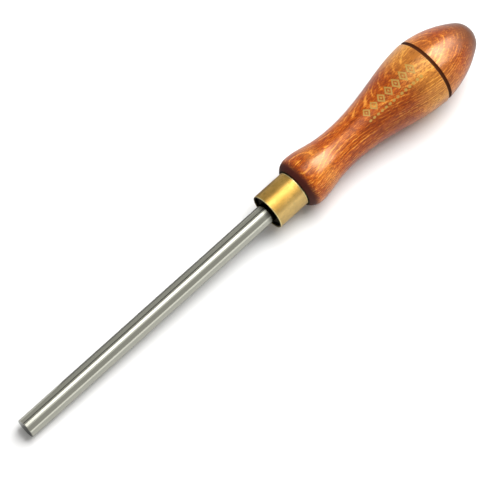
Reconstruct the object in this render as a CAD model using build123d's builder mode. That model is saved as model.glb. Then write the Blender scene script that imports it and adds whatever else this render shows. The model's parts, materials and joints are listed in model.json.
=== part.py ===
from build123d import *
from math import atan2, cos, radians, sin, tan
import os

# A round burnisher: a polished parallel steel rod in a turned wooden handle with a brass ferrule.
# It lies at rest, on the rod's free end and on the bulb of the handle. Millimetres, +Z up, floor at Z = 0.
# Every round outline is drawn as a half section: X is the station along the tool's own axis, counted
# from the rod's flat free end towards the butt of the handle, and Y is the radius.

os.makedirs("parts", exist_ok=True)

# Driving sizes
rod_diameter = 8.0
working_length = 122.0  # bare rod, from its flat end to the ferrule's mouth
ferrule_diameter = 15.0
ferrule_length = 14.2
ferrule_wall = 0.7
handle_length = 94.0  # wood behind the ferrule
shoulder_diameter = 16.6  # where the rounded shoulder starts, behind the ferrule
crest_diameter = 21.3
waist_diameter = 16.3
bulb_diameter = 28.0
tang_diameter = 7.0
tang_length = 46.0

# Edges and clearances
rod_edge_break = 0.3
ferrule_mouth_round = 0.3
ferrule_edge_break = 0.2
tenon_recess = 1.2  # the tenon's end stops this far inside the ferrule's mouth
tenon_bevel = 0.4
adhesive_film = 0.2  # round the tang, on the radius
adhesive_pocket = 2.0  # between the tang's end and the full-width bottom of the bore
drill_point_angle = 118.0

# Turned details
glue_key_count = 3
glue_key_width = 1.5
glue_key_depth = 0.4
tang_bevel = 0.8
groove_width = 1.4
groove_depth = 0.45
groove_wall = 0.3  # depth of the groove's steep sides, above its rounded floor
groove_edge_round = 0.15
cap_flank_radius = 44.5
cap_lean = 5.0  # the cap's slope just behind the groove, in degrees
bulb_rise = 0.03  # the bulb's slope just ahead of the groove

# Radii
rod_radius = rod_diameter / 2
tang_radius = tang_diameter / 2
bore_radius = tang_radius + adhesive_film
ferrule_radius = ferrule_diameter / 2
tenon_radius = ferrule_radius - ferrule_wall
shoulder_radius = shoulder_diameter / 2
crest_radius = crest_diameter / 2
waist_radius = waist_diameter / 2
bulb_radius = bulb_diameter / 2
cap_radius = bulb_radius - 0.1  # the cap starts a touch under the bulb

# Stations
mouth = working_length
tenon_face = mouth + tenon_recess
tang_end = tenon_face + tang_length
bore_bottom = tang_end + adhesive_pocket
bore_point = bore_bottom + bore_radius / tan(radians(drill_point_angle / 2))
shoulder = mouth + ferrule_length
butt = shoulder + handle_length
crest = shoulder + 0.05 * handle_length
waist = shoulder + 0.28 * handle_length
groove_middle = shoulder + 0.735 * handle_length
groove_front = groove_middle - groove_width / 2
groove_back = groove_middle + groove_width / 2

# The tool leans by the angle that brings the rod's end and the bulb down to the floor together
lie_angle = atan2(bulb_radius - rod_radius, groove_front - rod_edge_break)
axis_direction = Vector(cos(lie_angle), 0, sin(lie_angle))
free_end_centre = Vector(
    -butt / 2 * cos(lie_angle),
    0,
    rod_radius * cos(lie_angle) - rod_edge_break * sin(lie_angle),
)
tool_plane = Plane(origin=free_end_centre, x_dir=axis_direction, z_dir=(0, -1, 0))
tool_axis = Axis(free_end_centre, axis_direction)


def between(start, end, share):
    return start + share * (end - start)


def corners_at(sketch, *points):
    """The sketch's corners that lie on the given points, for rounding or bevelling."""
    return sketch.vertices().filter_by(
        lambda corner: any((Vector(corner) - Vector(point)).length < 0.001 for point in points)
    )


# Half section of the blind bore in the handle, from the tenon's end to the drill point
bore_outline = [
    (tenon_face, 0),
    (tenon_face, bore_radius),
    (bore_bottom, bore_radius),
    (bore_point, 0),
]

# Steel rod: the polished working length, then a reduced tang that is held inside the handle. The step
# between them seats on the tenon's end. The tang has shallow rings for the adhesive to key into.
glue_key_pitch = tang_length / (glue_key_count + 1)
glue_keys = [(tenon_face + glue_key_pitch * (i + 1), tang_radius) for i in range(glue_key_count)]

with BuildPart() as burnisher_rod:
    with BuildSketch(tool_plane) as rod_section:
        with BuildLine():
            Polyline(
                (0, 0),
                (0, rod_radius),
                (tenon_face, rod_radius),
                (tenon_face, tang_radius),
                (tang_end, tang_radius),
                (tang_end, 0),
                close=True,
            )
        make_face()
        with Locations(*glue_keys):
            Rectangle(glue_key_width, 2 * glue_key_depth, mode=Mode.SUBTRACT)
        fillet(corners_at(rod_section, (0, rod_radius)), rod_edge_break)
        chamfer(corners_at(rod_section, (tang_end, tang_radius)), tang_bevel)
    revolve(axis=tool_axis)

burnisher_rod.part.label = "burnisher_rod"
export_step(burnisher_rod.part, "parts/burnisher_rod.step")

# Brass ferrule: a thin tube pressed over the tenon, up against the handle's shoulder
with BuildPart() as ferrule:
    with BuildSketch(tool_plane) as ferrule_section:
        with BuildLine():
            Polyline(
                (mouth, tenon_radius),
                (mouth, ferrule_radius),
                (shoulder, ferrule_radius),
                (shoulder, tenon_radius),
                close=True,
            )
        make_face()
        fillet(corners_at(ferrule_section, (mouth, ferrule_radius)), ferrule_mouth_round)
        chamfer(
            corners_at(ferrule_section, (mouth, tenon_radius), (shoulder, ferrule_radius)),
            ferrule_edge_break,
        )
    revolve(axis=tool_axis)

ferrule.part.label = "ferrule"
export_step(ferrule.part, "parts/ferrule.step")

# Wooden handle, turned from one piece: tenon, rounded shoulder, waist, bulb, burnt groove and ogive cap.
# The cap is one long flank arc that runs tangent into a nose arc centred on the axis.
cap_start = Vector(groove_back, cap_radius)
cap_tangent = Vector(cos(radians(cap_lean)), -sin(radians(cap_lean)))
flank_centre = cap_start - Vector(sin(radians(cap_lean)), cos(radians(cap_lean))) * cap_flank_radius
nose_reach = flank_centre.X - butt
nose_power = cap_flank_radius**2 - nose_reach**2 - flank_centre.Y**2
nose_radius = nose_power / (2 * (cap_flank_radius + nose_reach))
nose_centre = Vector(butt - nose_radius, 0)
nose_start = flank_centre + (nose_centre - flank_centre).normalized() * cap_flank_radius

with BuildPart() as handle:
    with BuildSketch(tool_plane) as handle_section:
        with BuildLine():
            Polyline(
                (tenon_face, 0),
                (tenon_face, tenon_radius),
                (shoulder, tenon_radius),
                (shoulder, shoulder_radius),
            )
            TangentArc((crest, crest_radius), (shoulder, shoulder_radius), tangent=(-1, 0))
            Spline(
                (crest, crest_radius),
                (between(crest, waist, 0.5), between(waist_radius, crest_radius, 0.33)),
                (waist, waist_radius),
                (between(waist, groove_front, 0.33), between(waist_radius, bulb_radius, 0.22)),
                (between(waist, groove_front, 0.67), between(waist_radius, bulb_radius, 0.71)),
                (groove_front, bulb_radius),
                tangents=((1, 0), (1, bulb_rise)),
            )
            Line((groove_front, bulb_radius), (groove_front, bulb_radius - groove_wall))
            groove_floor = ThreePointArc(
                (groove_front, bulb_radius - groove_wall),
                (groove_middle, bulb_radius - groove_depth),
                (groove_back, bulb_radius - groove_wall),
            )
            Line(groove_floor @ 1, cap_start)
            cap_flank = TangentArc(cap_start, nose_start, tangent=cap_tangent)
            TangentArc(nose_start, (butt, 0), tangent=cap_flank % 1)
            Line((butt, 0), (tenon_face, 0))
        make_face()
        chamfer(corners_at(handle_section, (tenon_face, tenon_radius)), tenon_bevel)
        fillet(corners_at(handle_section, (groove_front, bulb_radius), cap_start), groove_edge_round)
    revolve(axis=tool_axis)
    with BuildSketch(tool_plane):
        with BuildLine():
            Polyline(*bore_outline, close=True)
        make_face()
    revolve(axis=tool_axis, mode=Mode.SUBTRACT)

handle.part.label = "handle"
export_step(handle.part, "parts/handle.step")

# Cured adhesive: fills the bore round the tang, the rings cut in it and the drill point beyond it
with BuildPart() as cured_adhesive:
    with BuildSketch(tool_plane):
        with BuildLine():
            Polyline(*bore_outline, close=True)
        make_face()
    revolve(axis=tool_axis)
    add(burnisher_rod.part, mode=Mode.SUBTRACT)

cured_adhesive.part.label = "cured_adhesive"
export_step(cured_adhesive.part, "parts/cured_adhesive.step")
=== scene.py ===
import json
import math

import bpy
from mathutils import Matrix, Vector


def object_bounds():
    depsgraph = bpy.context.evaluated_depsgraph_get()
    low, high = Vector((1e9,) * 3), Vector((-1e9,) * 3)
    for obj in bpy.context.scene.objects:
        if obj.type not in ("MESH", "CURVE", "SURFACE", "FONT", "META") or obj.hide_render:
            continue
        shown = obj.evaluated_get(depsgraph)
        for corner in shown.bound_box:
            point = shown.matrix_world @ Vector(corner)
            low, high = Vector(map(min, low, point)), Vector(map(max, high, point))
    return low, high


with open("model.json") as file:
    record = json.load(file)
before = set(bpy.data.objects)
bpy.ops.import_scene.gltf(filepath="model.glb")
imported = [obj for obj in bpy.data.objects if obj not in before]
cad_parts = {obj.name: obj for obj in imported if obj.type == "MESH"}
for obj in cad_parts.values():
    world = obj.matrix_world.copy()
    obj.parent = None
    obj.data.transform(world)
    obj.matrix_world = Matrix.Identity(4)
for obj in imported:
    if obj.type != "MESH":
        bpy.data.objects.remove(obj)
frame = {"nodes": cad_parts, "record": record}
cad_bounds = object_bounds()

# A round burnisher, lying on a studio floor: a polished steel rod in a turned wooden handle with a brass
# ferrule. Every piece keeps its CAD shape, and gets its material here.
#
# The scene is in metres. Surface patterns are laid out in millimetres, in tool space: X is the station along
# the tool's own axis, counted from the rod's free end, Y is sideways and Z is upward. The front is at -Y.
MM = 1000.0

mounts = {mount["name"]: mount for mount in frame["record"]["mounts"]}
FREE_END = Vector(mounts["rod_end"]["pos_m"])
ALONG = -Vector(mounts["working_rod"]["axis"]).normalized()
SIDEWAYS = Vector((0, 1, 0))
UPWARD = ALONG.cross(SIDEWAYS)


def stations(node):
    """The first and last station of a CAD node, in millimetres."""
    places = [(vertex.co - FREE_END).dot(ALONG) * MM for vertex in frame["nodes"][node].data.vertices]
    return min(places), max(places)


# Stations and sizes of the tool, in millimetres
MOUTH, SHOULDER = stations("ferrule")
BUTT = stations("handle")[1]
HANDLE_LENGTH = BUTT - SHOULDER
GROOVE = SHOULDER + 0.735 * HANDLE_LENGTH  # its middle
GROOVE_WIDTH = 1.4
BULB_RADIUS = cad_bounds[1][1] * MM
FERRULE_WALL = 0.7
FERRULE_RADIUS = mounts["ferrule_seat"]["dims"]["r_mm"]

# The foil border on the bulb, in millimetres
BORDER_START = SHOULDER + 0.385 * HANDLE_LENGTH
BORDER_END = SHOULDER + 0.672 * HANDLE_LENGTH
BORDER_RADIUS = 12.0  # the handle's mean radius there
LOZENGE_PITCH = (BORDER_END - BORDER_START) / 7
LOZENGE_HALF_HEIGHT = 2.7
BEAD_PITCH = LOZENGE_PITCH / 2
BEAD_HALF_HEIGHT = 0.6

# The tree's growth rings, in millimetres
BARK_SIDE = Vector((0.0, 0.264, 0.965))  # the side of the handle that faced the bark
PITH_DEPTH = 68.0
RING_SPACING = 0.85


class Shader:
    """A node material being built, with a short call for each kind of node that it uses."""

    def __init__(self, name):
        self.material = bpy.data.materials.new(name)
        self.material.use_nodes = True
        self.tree = self.material.node_tree
        self.surface = self.tree.nodes["Principled BSDF"]
        coordinates = self.tree.nodes.new("ShaderNodeTexCoord").outputs
        offset = self.vector("SUBTRACT", coordinates["Object"], FREE_END)
        self.station = self.vector("DOT_PRODUCT", offset, ALONG * MM)
        self.side = self.vector("DOT_PRODUCT", offset, SIDEWAYS * MM)
        self.height = self.vector("DOT_PRODUCT", offset, UPWARD * MM)
        self.place = self.combine(self.station, self.side, self.height)
        self.across = self.combine(0.0, self.side, self.height)
        self.radius = self.vector("LENGTH", self.across)
        # How far the surface faces the butt: 1 when square to it, -1 when it faces the rod's free end
        self.facing_butt = self.vector("DOT_PRODUCT", coordinates["Normal"], ALONG)

    def fill(self, socket, value):
        """Links a node's output to the socket, or sets the socket to a plain value."""
        if isinstance(value, bpy.types.NodeSocket):
            self.tree.links.new(value, socket)
        else:
            socket.default_value = value

    def node(self, kind, inputs, **settings):
        """A new node, with its inputs filled by name or number and its settings made."""
        node = self.tree.nodes.new(kind)
        for name, value in settings.items():
            setattr(node, name, value)
        for name, value in inputs.items():
            self.fill(node.inputs[name], value)
        return node

    def set(self, **values):
        """Fills the Principled shader's inputs, with _ for a space in their names."""
        for name, value in values.items():
            self.fill(self.surface.inputs[name.replace("_", " ")], value)

    def math(self, operation, *values):
        return self.node("ShaderNodeMath", dict(enumerate(values)), operation=operation).outputs[0]

    def largest(self, first, *others):
        for other in others:
            first = self.math("MAXIMUM", first, other)
        return first

    def vector(self, operation, *values):
        node = self.node("ShaderNodeVectorMath", dict(enumerate(values)), operation=operation)
        return node.outputs["Value" if operation in ("DOT_PRODUCT", "LENGTH") else "Vector"]

    def combine(self, x, y, z):
        return self.node("ShaderNodeCombineXYZ", {"X": x, "Y": y, "Z": z}).outputs[0]

    def smooth(self, value, low, high):
        """0 where value is at low, 1 where it is at high, with a smooth step between."""
        inputs = {"Value": value, "From Min": low, "From Max": high}
        return self.node("ShaderNodeMapRange", inputs, interpolation_type="SMOOTHSTEP").outputs[0]

    def span(self, value, low, high):
        """0 to 1 stretched to low to high."""
        return self.node("ShaderNodeMapRange", {"Value": value, "To Min": low, "To Max": high}).outputs[0]

    def add_swing(self, total, pattern, strength):
        """The total, raised where a pattern is over its middle and lowered where it is under."""
        swing = self.math("SUBTRACT", pattern, 0.5)
        return self.math("MULTIPLY_ADD", swing, strength, total)

    def noise(self, frequencies, detail=2.0, roughness=0.5, offset=(0, 0, 0)):
        """Noise in tool space, with its own frequency along each axis, per millimetre."""
        scaled = self.vector("MULTIPLY", self.place, frequencies)
        moved = self.vector("ADD", scaled, offset)
        inputs = {"Vector": moved, "Scale": 1.0, "Detail": detail, "Roughness": roughness}
        return self.node("ShaderNodeTexNoise", inputs).outputs["Fac"]

    def bands(self, value, frequency):
        """Noise that varies with one value only, so that it makes irregular bands."""
        inputs = {"W": value, "Scale": frequency, "Detail": 2.0, "Roughness": 0.5}
        return self.node("ShaderNodeTexNoise", inputs, noise_dimensions="1D").outputs["Fac"]

    def mix(self, factor, first, second, share=1.0):
        """The first colour where factor is 0, and where it is 1 a share of the way to the second."""
        if share < 1.0:
            factor = self.math("MULTIPLY", factor, share)
        # The Mix node has sockets for every data type, so its colour ones go by number
        node = self.node("ShaderNodeMix", {}, data_type="RGBA")
        self.fill(node.inputs[0], factor)
        self.fill(node.inputs[6], first)
        self.fill(node.inputs[7], second)
        return node.outputs[2]

    def ramp(self, factor, stops):
        """Colours by factor: stops is a list of (position, colour)."""
        node = self.node("ShaderNodeValToRGB", {"Fac": factor})
        while len(node.color_ramp.elements) < len(stops):
            node.color_ramp.elements.new(1.0)
        for element, (position, colour) in zip(node.color_ramp.elements, stops):
            element.position = position
            element.color = colour
        return node.outputs["Color"]

    def bump(self, height, relief, strength):
        """A normal that follows a height of 0 to 1, which stands for a relief in millimetres."""
        inputs = {"Height": height, "Distance": relief / MM, "Strength": strength}
        return self.node("ShaderNodeBump", inputs).outputs["Normal"]


def rgb(red, green, blue):
    """A linear colour from 8-bit sRGB values."""
    def linear(value):
        value = value / 255
        return value / 12.92 if value <= 0.04045 else ((value + 0.055) / 1.055) ** 2.4
    return (linear(red), linear(green), linear(blue), 1.0)


def restyle(node, material):
    """Gives a CAD node its material, through its material slots."""
    for slot in frame["nodes"][node].material_slots:
        slot.material = material


def polished_steel():
    """Hard polished steel, with the fine rings that the last grinding left round the rod."""
    steel = Shader("polished_steel_detail")
    rings = steel.noise((4.0, 0.25, 0.25), detail=3, roughness=0.6)
    haze = steel.noise((0.06, 0.3, 0.3), detail=3, offset=(3, 1, 4))
    tone = steel.mix(haze, rgb(198, 198, 184), rgb(214, 214, 202))
    tone = steel.mix(rings, tone, rgb(168, 168, 158), share=0.25)
    # The end face has its own tone, with painted shade darkening it towards the front
    end_face = steel.smooth(steel.station, 0.12, 0.02)
    front_painted_light = steel.smooth(steel.side, 2.5, -1.5)
    tone = steel.mix(end_face, tone, steel.mix(front_painted_light, rgb(196, 196, 190), rgb(112, 112, 106)))
    # Painted shade darkens the rod where it goes into the ferrule, as it mirrors the dark mouth
    mouth_painted_shade = steel.smooth(steel.station, MOUTH - 3.4, MOUTH - 0.6)
    tone = steel.mix(mouth_painted_shade, tone, rgb(44, 43, 38), share=0.85)
    steel.set(Base_Color=tone, Metallic=1.0, Roughness=steel.span(rings, 0.09, 0.16))
    steel.set(Normal=steel.bump(rings, 0.01, 0.12))
    return steel.material


def satin_brass():
    """Drawn brass tube: satin, with faint turning rings, some tarnish, and unpolished inside, plus painted
    light: a paler front, bright rims, and shade at the bevel and in the mouth.
    """
    brass = Shader("satin_brass_detail")
    rings = brass.noise((3.0, 0.2, 0.2), detail=3, roughness=0.6)
    grain = brass.noise((0.55, 0.8, 0.8), detail=5, roughness=0.75, offset=(2, 9, 4))
    tarnish = brass.noise((0.16, 0.16, 0.16), detail=3, roughness=0.6, offset=(7, 3, 1))
    tone = brass.ramp(tarnish, [(0.35, rgb(202, 160, 80)), (0.62, rgb(218, 176, 94))])
    tone = brass.mix(brass.smooth(grain, 0.42, 0.68), tone, rgb(188, 150, 78))
    # A painted reflection makes it a little paler along the front
    front_painted_light = brass.smooth(brass.side, -3.0, -6.5)
    tone = brass.mix(front_painted_light, tone, rgb(244, 220, 160), share=0.40)
    # Both ends are painted bright, partly rubbed wear and partly painted highlights on the rims, and painted
    # shade darkens the bevel where the tube meets the handle
    shoulder_rim_wear_and_highlight = brass.smooth(brass.station, SHOULDER - 0.8, SHOULDER - 0.35)
    mouth_rim_wear_and_highlight = brass.smooth(brass.station, MOUTH + 0.5, MOUTH + 0.2)
    tone = brass.mix(brass.largest(shoulder_rim_wear_and_highlight, mouth_rim_wear_and_highlight), tone, rgb(255, 236, 170))
    bevel_painted_shade = brass.smooth(brass.station, SHOULDER - 0.28, SHOULDER - 0.18)
    tone = brass.mix(bevel_painted_shade, tone, rgb(40, 26, 16))
    # The tube's cut end and its inside are painted dark: dull brass, deepened by painted shade in the mouth
    cut_end = brass.smooth(brass.facing_butt, -0.80, -0.95)
    wall_depth = brass.math("SUBTRACT", FERRULE_RADIUS, brass.radius)
    inside = brass.smooth(wall_depth, 0.7 * FERRULE_WALL, 0.9 * FERRULE_WALL)
    tone = brass.mix(brass.largest(cut_end, inside), tone, rgb(58, 50, 36))
    brass.set(Base_Color=tone, Metallic=1.0, Roughness=brass.span(grain, 0.31, 0.41))
    brass.set(Normal=brass.bump(rings, 0.01, 0.35))
    return brass.material


def growth_rings(wood, fibres):
    """Pale lines where the turned surface cuts the tree's growth rings: 0 between them, 1 on a line.

    The rings are cylinders round a pith far below the handle. They waver, and their edges follow the fibres.
    """
    bend = wood.noise((0.020, 0.055, 0.055), detail=2, offset=(3.1, 0.4, 5.2))
    waver = wood.noise((0.14, 0.34, 0.34), detail=3, roughness=0.6, offset=(1.7, 8.3, 2.9))
    depth = wood.vector("LENGTH", wood.vector("SUBTRACT", wood.across, -BARK_SIDE * PITH_DEPTH))
    # The tree leans a little along the handle, and its rings bend, waver and break up with the fibres
    from_groove = wood.math("SUBTRACT", wood.station, GROOVE - 1.0)
    for pattern, strength in ((from_groove, 0.010), (bend, 1.2), (waver, 0.5), (fibres, 0.45)):
        depth = wood.math("MULTIPLY_ADD", pattern, strength, depth)
    # The rings are unevenly spaced
    depth = wood.math("MULTIPLY_ADD", wood.bands(depth, 0.5), 0.9, depth)
    phase = wood.math("FRACT", wood.math("DIVIDE", depth, RING_SPACING))
    off_line = wood.math("ABSOLUTE", wood.math("SUBTRACT", phase, 0.5))
    # The lines come and go
    clear = wood.smooth(wood.noise((0.05, 0.35, 0.35), detail=2, offset=(8, 8, 3)), 0.30, 0.58)
    return wood.math("MULTIPLY", wood.smooth(off_line, 0.19, 0.05), clear)


def foil_border(wood):
    """A worn foil-stamped border on the bulb, a row of lozenges over a row of beads: 1 on the foil."""
    backward = wood.math("MULTIPLY", wood.side, -1.0)
    turn = wood.math("ARCTAN2", backward, wood.height)
    around = wood.math("MULTIPLY", turn, BORDER_RADIUS)  # millimetres round the handle, from its top
    along = wood.math("SUBTRACT", wood.station, BORDER_START)

    def row(pitch, middle, half_length, half_height, power):
        """Repeated ovals, of power 2, or lozenges, of power 1: 0 in their middles and 1 on their outlines."""
        step = wood.math("SUBTRACT", wood.math("FRACT", wood.math("DIVIDE", along, pitch)), 0.5)
        x = wood.math("ABSOLUTE", wood.math("MULTIPLY", step, pitch / half_length))
        y = wood.math("ABSOLUTE", wood.math("DIVIDE", wood.math("SUBTRACT", around, middle), half_height))
        return wood.math("ADD", wood.math("POWER", x, power), wood.math("POWER", y, power))

    lozenge = row(LOZENGE_PITCH, -0.2, 0.46 * LOZENGE_PITCH, LOZENGE_HALF_HEIGHT, power=1.0)
    rim = wood.math("MULTIPLY", wood.smooth(lozenge, 1.04, 0.94), wood.smooth(lozenge, 0.50, 0.60))
    heart = wood.smooth(lozenge, 0.32, 0.22)
    bead = row(BEAD_PITCH, 4.3, 0.36 * BEAD_PITCH, BEAD_HALF_HEIGHT, power=2.0)
    marks = wood.largest(rim, heart, wood.smooth(bead, 1.1, 0.8))
    after_start = wood.math("GREATER_THAN", along, 0.0)
    before_end = wood.math("LESS_THAN", along, BORDER_END - BORDER_START)
    marks = wood.math("MULTIPLY", marks, wood.math("MULTIPLY", after_start, before_end))
    wear = wood.smooth(wood.noise((0.7, 1.4, 1.4), detail=4, roughness=0.7, offset=(4, 4, 1)), 0.24, 0.44)
    return wood.math("MULTIPLY", marks, wear)


def stain(wood, fibres, flecks, clouds):
    """The colour of the side of the wood: the stain, by its figure and its place, with a painted highlight
    ring and a darker patch.
    """
    rings = growth_rings(wood, fibres)
    figure = 0.57
    for pattern, strength in ((fibres, 0.6), (flecks, 2.6), (clouds, 1.1), (rings, 0.50)):
        figure = wood.add_swing(figure, pattern, strength)
    stops = [
        (0.05, rgb(124, 44, 6)),
        (0.38, rgb(164, 70, 8)),
        (0.62, rgb(190, 94, 16)),
        (0.95, rgb(222, 144, 54)),
    ]
    tone = wood.ramp(figure, stops)

    # It took less on the widest part of the bulb, most of all ahead of the groove
    from_groove = wood.math("SUBTRACT", wood.station, GROOVE)
    widest = wood.smooth(wood.radius, BULB_RADIUS - 2.2, BULB_RADIUS - 0.1)
    ahead = wood.smooth(from_groove, 1.0, -1.0)
    pale = wood.math("MULTIPLY", widest, wood.span(ahead, 0.35, 0.85))
    pale = wood.math("MULTIPLY", pale, wood.span(wood.smooth(figure, 0.15, 0.75), 0.35, 1.0))
    tone = wood.mix(pale, tone, rgb(218, 156, 66))

    # A ring where the crest falls to the waist is painted paler, as a painted highlight
    from_fall = wood.math("ABSOLUTE", wood.math("SUBTRACT", wood.station, SHOULDER + 11.5))
    tone = wood.mix(wood.smooth(from_fall, 5.0, 1.0), tone, rgb(236, 168, 78), share=0.17)

    # A long patch on the front of the flare is painted darker
    patch_middle = Vector((SHOULDER + 0.47 * HANDLE_LENGTH, -9.0, 8.0))
    patch = wood.vector("MULTIPLY", wood.vector("SUBTRACT", wood.place, patch_middle), (0.055, 0.12, 0.12))
    patch = wood.add_swing(wood.vector("LENGTH", patch), clouds, 1.0)
    return wood.mix(wood.smooth(patch, 1.0, 0.35), tone, rgb(104, 34, 10), share=0.42)


def stained_wood():
    """Turned hardwood, flat-sawn, under an orange-brown stain and clear gloss lacquer."""
    wood = Shader("stained_wood_detail")
    fibres = wood.noise((0.11, 1.9, 1.9), detail=3, roughness=0.6, offset=(9, 4, 2))
    flecks = wood.noise((0.42, 2.3, 2.3), detail=4, roughness=0.75, offset=(5, 2, 3))
    clouds = wood.noise((0.045, 0.13, 0.13), detail=3, offset=(2, 6, 8))
    pores = wood.smooth(wood.noise((0.5, 2.9, 2.9), detail=2, roughness=0.6, offset=(5, 1, 7)), 0.44, 0.33)
    tone = stain(wood, fibres, flecks, clouds)
    tone = wood.mix(pores, tone, rgb(92, 32, 6), share=0.7)
    tone = wood.mix(foil_border(wood), tone, rgb(168, 134, 64), share=0.92)

    # End grain soaks up the stain on the shoulder behind the ferrule. The butt is painted darker where it
    # faces the butt end, and the flat ring that the ferrule meets is darkest, with painted shade where it
    # steps in behind the ferrule.
    blurred = wood.math("MULTIPLY_ADD", flecks, 0.16, wood.math("SUBTRACT", wood.facing_butt, 0.08))
    shoulder_grain = wood.smooth(blurred, -0.14, -0.56)
    tone = wood.mix(shoulder_grain, tone, rgb(68, 17, 20))
    darker_butt = wood.smooth(wood.facing_butt, 0.22, 0.62)
    tone = wood.mix(darker_butt, tone, rgb(86, 46, 28), share=0.92)
    flat_ring_painted_shade = wood.smooth(wood.facing_butt, -0.86, -0.97)
    tone = wood.mix(flat_ring_painted_shade, tone, rgb(24, 9, 7))

    # The groove is burnt, a little over both its edges, and the tenon in the ferrule is painted dark, its
    # stained end grain deepened by painted shade
    off_middle = wood.math("ABSOLUTE", wood.math("SUBTRACT", wood.station, GROOVE))
    burnt = wood.smooth(off_middle, GROOVE_WIDTH / 2 + 0.10, GROOVE_WIDTH / 2 - 0.06)
    tone = wood.mix(burnt, tone, rgb(54, 9, 1))
    tenon = wood.smooth(wood.station, SHOULDER - 0.2, SHOULDER - 0.4)
    tone = wood.mix(tenon, tone, rgb(30, 27, 24))

    # The tenon, the groove and the shoulder's end grain have little lacquer or none
    dulled = wood.largest(tenon, burnt, wood.math("MULTIPLY", shoulder_grain, 0.7))
    wood.set(Base_Color=tone, Roughness=wood.span(dulled, 0.36, 0.85))
    wood.set(Specular_IOR_Level=0.3, Specular_Tint=(1.0, 0.8, 0.35, 1.0))
    wood.set(Coat_Weight=wood.span(dulled, 0.7, 0.0), Coat_Roughness=0.2, Coat_IOR=1.36)
    wood.set(Normal=wood.bump(flecks, 0.04, 0.2), Coat_Normal=wood.bump(clouds, 0.1, 0.15))
    return wood.material


def dull_adhesive():
    """Cured glue, hidden in the handle's bore."""
    glue = Shader("dull_adhesive_detail")
    cloud = glue.noise((0.4, 0.4, 0.4), detail=3)
    glue.set(Base_Color=glue.mix(cloud, rgb(150, 138, 104), rgb(186, 172, 132)), Roughness=0.55)
    return glue.material


restyle("burnisher_rod", polished_steel())
restyle("ferrule", satin_brass())
restyle("handle", stained_wood())
restyle("cured_adhesive", dull_adhesive())

# The camera looks down on the tool from the side of the rod's free end, at a point near the tool's middle
CAMERA_ELEVATION = math.radians(64.95)
CAMERA_AZIMUTH = math.radians(-133.76)
CAMERA_DISTANCE = 1.024
AIM_STATION = 0.107
AIM_SIDE = -0.00093
LENS = 206.25


def direction(azimuth, elevation):
    flat = math.cos(elevation)
    return Vector((flat * math.cos(azimuth), flat * math.sin(azimuth), math.sin(elevation)))


aim = FREE_END + ALONG * AIM_STATION + SIDEWAYS * AIM_SIDE
to_camera = direction(CAMERA_AZIMUTH, CAMERA_ELEVATION)
camera = bpy.data.objects.new("camera", bpy.data.cameras.new("camera"))
camera.data.lens = LENS
camera.data.clip_end = 20.0
camera.location = aim + to_camera * CAMERA_DISTANCE
camera.rotation_euler = (-to_camera).to_track_quat("-Z", "Y").to_euler()
bpy.context.scene.collection.objects.link(camera)
bpy.context.scene.camera = camera

# The studio stands round the tool: a thing's turn is its angle round the tool's axis from the camera's side,
# towards the front, and its lean is towards the butt
CENTRE = FREE_END + ALONG * (MOUTH / MM)
ROUND_CAMERA = (to_camera - ALONG * to_camera.dot(ALONG)).normalized()
ROUND_FRONT = ALONG.cross(ROUND_CAMERA)
WHITE = (1.0, 1.0, 1.0)
WARM = (1.0, 0.93, 0.80)


def studio_place(turn, lean, distance):
    """Where a light or card stands, facing the middle of the tool, with its X across the tool."""
    turn, lean = math.radians(turn), math.radians(lean)
    spoke = ROUND_CAMERA * math.cos(turn) + ROUND_FRONT * math.sin(turn)
    back = spoke * math.cos(lean) + ALONG * math.sin(lean)
    across = ALONG.cross(back).normalized()
    turned = Matrix((across, back.cross(across), back)).transposed().to_4x4()
    return Matrix.Translation(CENTRE + back * distance) @ turned


def softbox(name, turn, lean, distance, width, length, power, colour=WHITE):
    """A rectangular area light, width across the tool and length along it."""
    light = bpy.data.lights.new(name, "AREA")
    light.shape = "RECTANGLE"
    light.size = width
    light.size_y = length
    light.energy = power
    light.color = colour
    box = bpy.data.objects.new(name, light)
    box.matrix_world = studio_place(turn, lean, distance)
    box.visible_camera = False
    bpy.context.scene.collection.objects.link(box)
    return box


def gloss_light(name, **settings):
    """A warm softbox that makes highlights, and doesn't light matt surfaces."""
    box = softbox(name, colour=WARM, **settings)
    box.visible_diffuse = False


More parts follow.
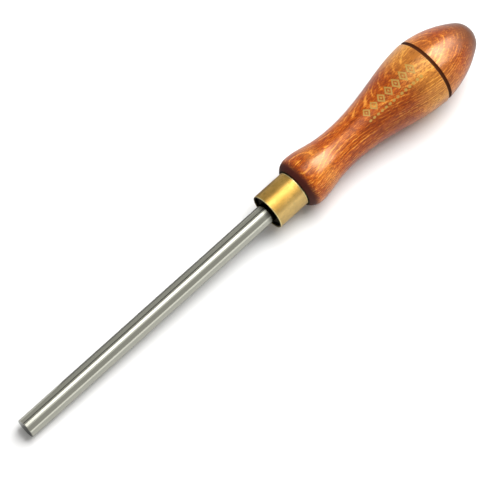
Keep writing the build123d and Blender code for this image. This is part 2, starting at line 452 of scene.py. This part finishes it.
def flat_sheet(name, width, length, grey):
    """A plain matt sheet that is part of the studio."""
    x, y = width / 2, length / 2
    mesh = bpy.data.meshes.new(name)
    mesh.from_pydata([(-x, -y, 0), (x, -y, 0), (x, y, 0), (-x, y, 0)], [], [(0, 1, 2, 3)])
    material = bpy.data.materials.new(name)
    material.use_nodes = True
    surface = material.node_tree.nodes["Principled BSDF"]
    surface.inputs["Base Color"].default_value = (grey, grey, grey, 1)
    surface.inputs["Roughness"].default_value = 0.9
    surface.inputs["Specular IOR Level"].default_value = 0.0
    mesh.materials.append(material)
    sheet = bpy.data.objects.new(name, mesh)
    bpy.context.scene.collection.objects.link(sheet)
    return sheet


def only_in_reflections(sheet):
    """Hides a card or sheet from everything but mirror-like reflections, where it sets their tone."""
    sheet.visible_camera = False
    sheet.visible_diffuse = False
    sheet.visible_shadow = False


gloss_light("key_softbox", turn=-30, lean=47, distance=1.2, width=0.62, length=0.69, power=9.8)
gloss_light("neck_light", turn=-10, lean=42, distance=1.2, width=1.2, length=0.28, power=16.0)
gloss_light("top_panel", turn=-2, lean=60, distance=1.3, width=1.1, length=0.5, power=7.0)
softbox("low_strip", turn=-27, lean=16.5, distance=1.2, width=0.76, length=0.60, power=2.7)
softbox("middle_strip", turn=-2, lean=14, distance=1.2, width=0.28, length=0.60, power=0.2)
softbox("side_fill", turn=66, lean=8, distance=1.3, width=0.5, length=1.6, power=1.9)
broad_fill = softbox("broad_fill", turn=-19, lean=33, distance=1.5, width=1.25, length=1.25, power=29.5)
broad_fill.visible_glossy = False

# The floor, and over it by a hair the darker tones that only reflections show in its place
flat_sheet("floor", 12.0, 12.0, grey=0.86)
floor_tone = flat_sheet("floor_tone", 3.0, 3.0, grey=0.48)
floor_tone.location.z = 0.00005
only_in_reflections(floor_tone)
rod_edge_card = flat_sheet("rod_edge_card", 0.12, 0.25, grey=0.18)
rod_edge_card.location = (FREE_END.x + 0.083, 0.13, 0.0001)
only_in_reflections(rod_edge_card)

# A dark card above and behind the tool, for the steel and the brass to mirror
dark_card = flat_sheet("dark_card", 0.20, 1.6, grey=0.08)
dark_card.matrix_world = studio_place(turn=-60, lean=10, distance=1.1)
only_in_reflections(dark_card)

world = bpy.data.worlds.new("studio")
world.use_nodes = True
background = world.node_tree.nodes["Background"].inputs
background["Color"].default_value = (1.0, 0.99, 0.96, 1)
background["Strength"].default_value = 0.42
bpy.context.scene.world = world
bpy.context.scene.view_settings.view_transform = "Standard"
